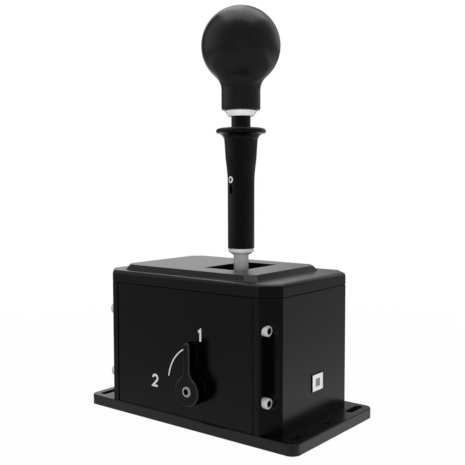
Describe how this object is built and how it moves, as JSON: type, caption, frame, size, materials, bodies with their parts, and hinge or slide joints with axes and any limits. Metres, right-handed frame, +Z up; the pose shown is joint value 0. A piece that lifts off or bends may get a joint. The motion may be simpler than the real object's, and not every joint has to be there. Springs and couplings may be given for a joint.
{
  "type": "sim_racing_shifter",
  "caption": "Desk-mount H-pattern gear shifter: ball knob with lift sleeve, two-axis stick, gated metal housing, side mode lever, slotted base plate",
  "frame": {"origin": "Underside of the base plate, below the middle of the housing", "axes": "+X towards the end with the badge plate, away from the data socket; +Y away from the mode lever; +Z up along the stick"},
  "size_m": [0.18, 0.1082, 0.2819],
  "materials": {
    "black_anodised": "satin",
    "black_steel": "satin",
    "screw_steel": "polished",
    "shaft_steel": "polished",
    "bright_aluminium": "turned",
    "gimbal_aluminium": "machined",
    "knob_black": "satin",
    "spring_steel": "drawn",
    "bush_bronze": "turned",
    "bush_plastic": "matte",
    "bush_black": "matte",
    "board_green": "satin",
    "magnet": "plated",
    "badge": "gloss"
  },
  "bodies": {
    "housing": {"base_plate": "black_anodised", "base_screws": "black_steel", "front_end_cap": "black_anodised", "rear_end_cap": "black_anodised", "lever_side_plate": "black_anodised", "plain_side_plate": "black_anodised", "top_cover": "black_anodised", "corner_screws": "screw_steel", "inner_screws": "black_steel", "deck_plate": "gimbal_aluminium", "deck_rails": "gimbal_aluminium", "gate_plate": "shaft_steel", "detent_block": "shaft_steel", "front_bearing_block": "gimbal_aluminium", "rear_bearing_block": "gimbal_aluminium", "select_bearings": "shaft_steel", "select_sensor_board": "board_green", "mode_bush": "bush_black", "mode_guide": "gimbal_aluminium", "control_board": "board_green", "board_screws": "screw_steel", "data_socket": "shaft_steel", "badge_plate": "badge", "lever_side_spring": "spring_steel", "plain_side_spring": "spring_steel"},
    "yoke": {"yoke": "gimbal_aluminium", "pivot_pins": "shaft_steel", "pivot_spacers": "gimbal_aluminium", "shift_bearings": "shaft_steel", "shift_sensor_board": "board_green", "select_magnet": "magnet"},
    "stick": {"stick_hub": "gimbal_aluminium", "cross_shaft": "shaft_steel", "hub_washers": "screw_steel", "hub_pin": "screw_steel", "shift_magnet": "magnet", "stick_shaft": "shaft_steel", "gate_arm": "gimbal_aluminium", "arm_screw": "black_steel", "gate_pin": "shaft_steel", "detent_holder": "shaft_steel", "detent_spring": "spring_steel", "dust_shield": "black_anodised", "shield_ring": "gimbal_aluminium", "stick_collar": "bright_aluminium", "stick_adapter": "black_anodised", "sleeve_stop_pin": "shaft_steel", "lock_ring": "bright_aluminium", "knob": "knob_black", "knob_insert": "bush_bronze", "lockout_spring": "spring_steel"},
    "lift_sleeve": {"lockout_sleeve": "black_anodised", "sleeve_bush": "bush_plastic"},
    "mode_lever": {"mode_lever": "black_anodised", "mode_shaft": "shaft_steel", "lever_screw": "screw_steel", "cam_pin": "shaft_steel"},
    "lock_plunger": {"lock_plunger": "shaft_steel"},
    "detent_ball": {"detent_ball": "shaft_steel"}
  },
  "joints": [
    {"name": "select", "type": "hinge", "parent": "housing", "child": "yoke", "pos_m": [0.0135, 0, 0.028], "axis": [1, 0, 0], "range_deg": [-11.5, 11.5], "stiffness_Nm_per_rad": 4, "deforming": ["lever_side_spring", "plain_side_spring"]},
    {"name": "shift", "type": "hinge", "parent": "yoke", "child": "stick", "pos_m": [0.0135, 0, 0.028], "axis": [0, 1, 0], "range_deg": [-6.5, 6.5]},
    {"name": "sleeve_lift", "type": "slide", "parent": "stick", "child": "lift_sleeve", "axis": [0, 0, 1], "range_m": [0, 0.0045], "stiffness_N_per_m": 600, "springref_m": -0.01, "deforming": ["lockout_spring"]},
    {"name": "mode_turn", "type": "hinge", "parent": "housing", "child": "mode_lever", "pos_m": [0.0135, -0.05, 0.028], "axis": [0, -1, 0], "range_deg": [0, 90]},
    {"name": "lock_slide", "type": "slide", "parent": "housing", "child": "lock_plunger", "axis": [0, 1, 0], "range_m": [0, 0.005]},
    {"name": "ball_press", "type": "slide", "parent": "stick", "child": "detent_ball", "axis": [0, 0, 1], "range_m": [-0.0012, 0], "stiffness_N_per_m": 500, "springref_m": 0.004, "deforming": ["detent_spring"]}
  ],
  "couplings": [
    {"joint": "lock_slide", "follows": "mode_turn", "m_per_rad": 0.003183}
  ]
}
